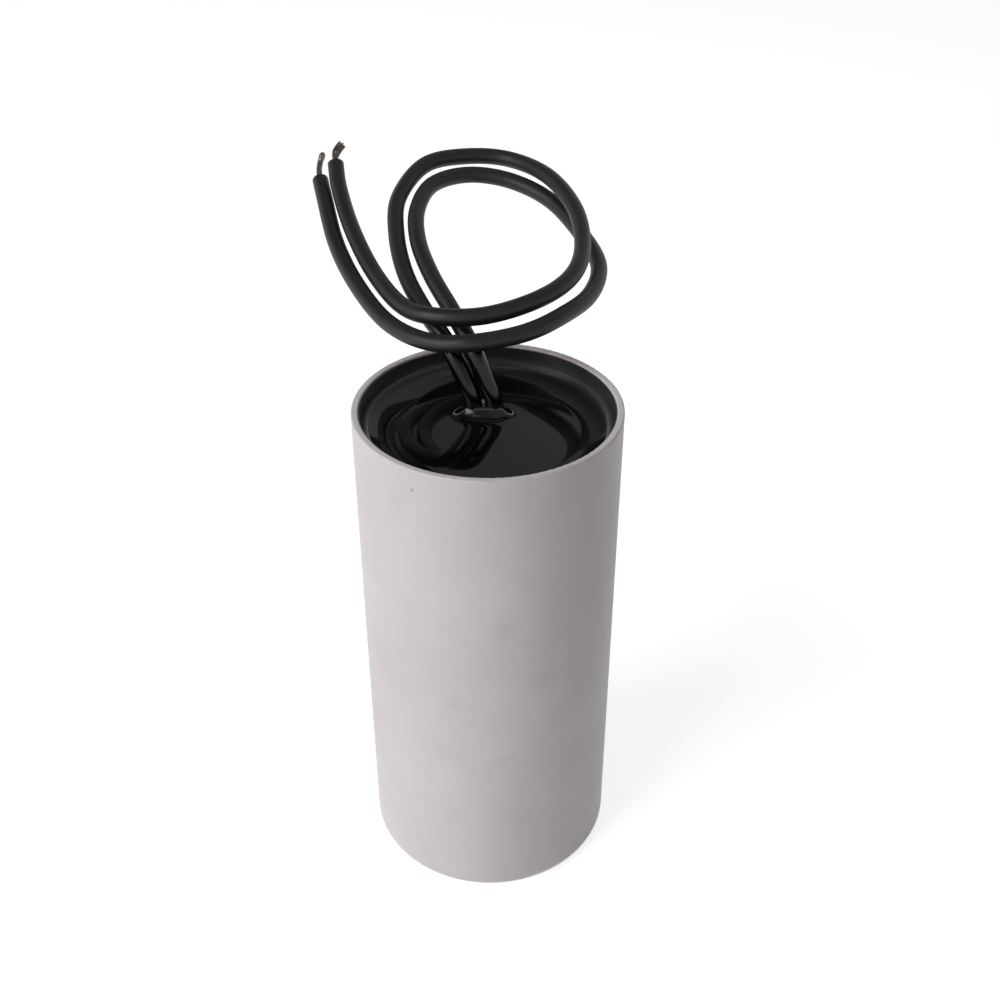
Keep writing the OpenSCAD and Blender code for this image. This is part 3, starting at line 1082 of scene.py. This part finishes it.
@dataclass
class Studio:
    """A plain pale floor, an even room, soft lamps, a card for glossy pieces, and the camera.

    Heights in the room are sines of the elevation, and sides are parts of one to the right.
    """

    camera_place: tuple[float, float, float] = (0.0020, -0.1870, 0.2025)
    camera_pitch: float = 34.45
    lens_mm: float = 47.34
    floor_half: float = 1.6
    floor_tone: str = "F2F2F2"
    floor_glow: float = 0.72
    room_light: float = 0.10
    ceiling_left: float = 0.12
    ceiling_right: float = 0.42
    ceiling_side: float = 0.22
    wall_top: float = 0.36
    ceiling_edge: float = 0.45
    room_tone: str = "FFFFFF"

    def camera(self) -> None:
        """Stand the camera in front of the can, above its rim and looking down."""
        view = bpy.data.cameras.new("studio_camera")
        view.lens = self.lens_mm
        view.sensor_width = 36.0
        view.clip_start = 0.01
        view.clip_end = 20.0
        holder = bpy.data.objects.new("studio_camera", view)
        holder.location = self.camera_place
        holder.rotation_euler = (radians(90.0 - self.camera_pitch), 0.0, 0.0)
        bpy.context.scene.collection.objects.link(holder)
        bpy.context.scene.camera = holder

    def lamp(
        self,
        name: str,
        place: tuple[float, float, float],
        size: tuple[float, float],
        power: float,
        tone: str,
        glossy: bool = True,
    ) -> None:
        """Hang one soft lamp that faces the can.

        Args:
            name: the lamp's name.
            place: its centre, in metres.
            size: its width and height, in metres.
            power: its power in watts.
            tone: its sRGB hex colour.
            glossy: whether glossy surfaces mirror it.
        """
        light = bpy.data.lights.new(name, "AREA")
        light.shape = "RECTANGLE"
        light.size, light.size_y = size
        light.energy = power
        light.color = linear(tone)[:3]
        holder = bpy.data.objects.new(name, light)
        holder.location = place
        aim = Vector((0.0, 0.0, 0.06)) - Vector(place)
        holder.rotation_euler = aim.to_track_quat("-Z", "Y").to_euler()
        holder.visible_camera = False
        holder.visible_glossy = glossy
        bpy.context.scene.collection.objects.link(holder)

    def card(
        self,
        name: str,
        centre: tuple[float, float, float],
        half: tuple[float, float],
        glow: float,
    ) -> None:
        """Hang an oval card that only glossy surfaces see, facing the can.

        A corner at angle q is the centre plus the half sizes times cos q across and sin q up.

        Args:
            name: the card's name.
            centre: its centre, in metres.
            half: its half width and half height.
            glow: how bright it looks in a mirror, with white as 1.
        """
        q = np.arange(64) * TURN / 64
        across = np.stack([half[0] * np.cos(q), half[1] * np.sin(q), 0 * q], axis=1)
        turn = (Vector((0.0, 0.0, 0.09)) - Vector(centre)).to_track_quat("Z", "Y").to_matrix()
        corners = across @ np.array(turn).T + np.asarray(centre)
        mesh = bpy.data.meshes.new(name)
        mesh.from_pydata(corners.tolist(), [], [tuple(range(64))])
        holder = bpy.data.objects.new(name, mesh)
        bpy.context.scene.collection.objects.link(holder)
        made = bpy.data.materials.new(name)
        made.use_nodes = True
        tree = made.node_tree
        tree.nodes.clear()
        shine = add_node(tree, "Emission", {"Strength": glow})
        add_node(tree, "OutputMaterial", {"Surface": shine.outputs[0]})
        mesh.materials.append(made)
        holder.visible_camera = False
        holder.visible_diffuse = False
        holder.visible_shadow = False

    def floor(self) -> None:
        """Lay the floor: pale board that glows a little for the camera, so it reads as white.

        The glow is added for camera, glossy and transmitted rays alike and stays well below
        one, so the can's shadow is kept. From below the board is clear.
        """
        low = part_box("can")[0].z
        reach = self.floor_half
        corners = [(-reach, -reach, low), (reach, -reach, low), (reach, reach, low),
                   (-reach, reach, low)]
        mesh = bpy.data.meshes.new("studio_floor")
        mesh.from_pydata(corners, [], [(0, 1, 2, 3)])
        holder = bpy.data.objects.new("studio_floor", mesh)
        bpy.context.scene.collection.objects.link(holder)
        made = bpy.data.materials.new("matt_white_board")
        made.use_nodes = True
        tree = made.node_tree
        tree.nodes.clear()
        rays = add_node(tree, "LightPath").outputs
        seen = self._background_rays(tree, rays)
        strength = add_node(tree, "Math", {
            0: seen, 1: self.floor_glow,
        }, operation="MULTIPLY")
        board = add_node(tree, "BsdfDiffuse", {"Color": linear(self.floor_tone)})
        glow = add_node(tree, "Emission", {"Strength": strength.outputs[0]})
        lit = add_node(tree, "AddShader", {0: board.outputs[0], 1: glow.outputs[0]})
        clear = add_node(tree, "BsdfTransparent")
        below = add_node(tree, "NewGeometry").outputs["Backfacing"]
        both = add_node(tree, "MixShader", {
            0: below, 1: lit.outputs[0], 2: clear.outputs[0],
        })
        add_node(tree, "OutputMaterial", {"Surface": both.outputs[0]})
        mesh.materials.append(made)

    @staticmethod
    def _background_rays(tree: bpy.types.NodeTree, rays: Any) -> Socket:
        """Add up the camera, glossy and transmitted rays, which all see the background.

        Args:
            tree: the node tree.
            rays: the outputs of its Light Path node.

        Returns:
            A socket that is one for those rays and zero for the rest.
        """
        first = add_node(tree, "Math", {
            0: rays["Is Camera Ray"], 1: rays["Is Glossy Ray"],
        }, operation="MAXIMUM")
        return add_node(tree, "Math", {
            0: first.outputs[0], 1: rays["Is Transmission Ray"],
        }, operation="MAXIMUM").outputs[0]

    def world(self) -> None:
        """Light the room evenly, with a white wall and a grey ceiling for rays that see it.

        The ceiling begins above where any level view looks, and is lighter to the right.
        """
        room = bpy.data.worlds.new("studio_room")
        room.use_nodes = True
        tree = room.node_tree
        tree.nodes.clear()
        rays = add_node(tree, "LightPath").outputs
        seen = self._background_rays(tree, rays)
        ways = add_node(tree, "TexCoord").outputs["Generated"]
        way = add_node(tree, "SeparateXYZ", {0: ways}).outputs
        ceiling = add_node(tree, "MapRange", {
            "Value": way[0], "From Min": -self.ceiling_side, "From Max": self.ceiling_side,
            "To Min": self.ceiling_left, "To Max": self.ceiling_right,
        })
        wall = add_node(tree, "MapRange", {
            "Value": way[2], "From Min": self.wall_top, "From Max": self.ceiling_edge,
            "To Min": 1.0, "To Max": ceiling.outputs[0],
        }, interpolation_type="SMOOTHSTEP")
        strength = add_node(tree, "Mix", {
            0: seen, 2: self.room_light, 3: wall.outputs[0],
        }, data_type="FLOAT")
        light = add_node(tree, "Background", {
            "Color": linear(self.room_tone), "Strength": strength.outputs[0],
        })
        add_node(tree, "OutputWorld", {"Surface": light.outputs[0]})
        bpy.context.scene.world = room

    def build(self) -> None:
        """Set the camera, floor, room, lamps and cards."""
        bpy.context.scene.view_settings.view_transform = "Standard"
        self.camera()
        self.floor()
        self.world()
        self.lamp("key_softbox", (-0.75, -0.52, 0.62), (0.8, 0.8), 7.8, "FFFDFC")
        self.lamp("top_softbox", (0.10, 0.10, 1.20), (0.8, 0.8), 1.7, "FFFFFF", glossy=False)
        self.card("overhead_card", (-0.25, -0.35, 1.15), (0.13, 0.13), 1.4)


# ------------------------ put together


def main() -> None:
    """Build the studio, the leads, the can and its filling in order, and report each piece."""
    Studio().build()
    for part in (LEAD_A, LEAD_B, Can(), Resin(), Filling()):
        for piece in part.build():
            LOG.info("%s: %d faces", piece.name, len(piece.data.polygons))


if __name__ == "__main__":
    main()
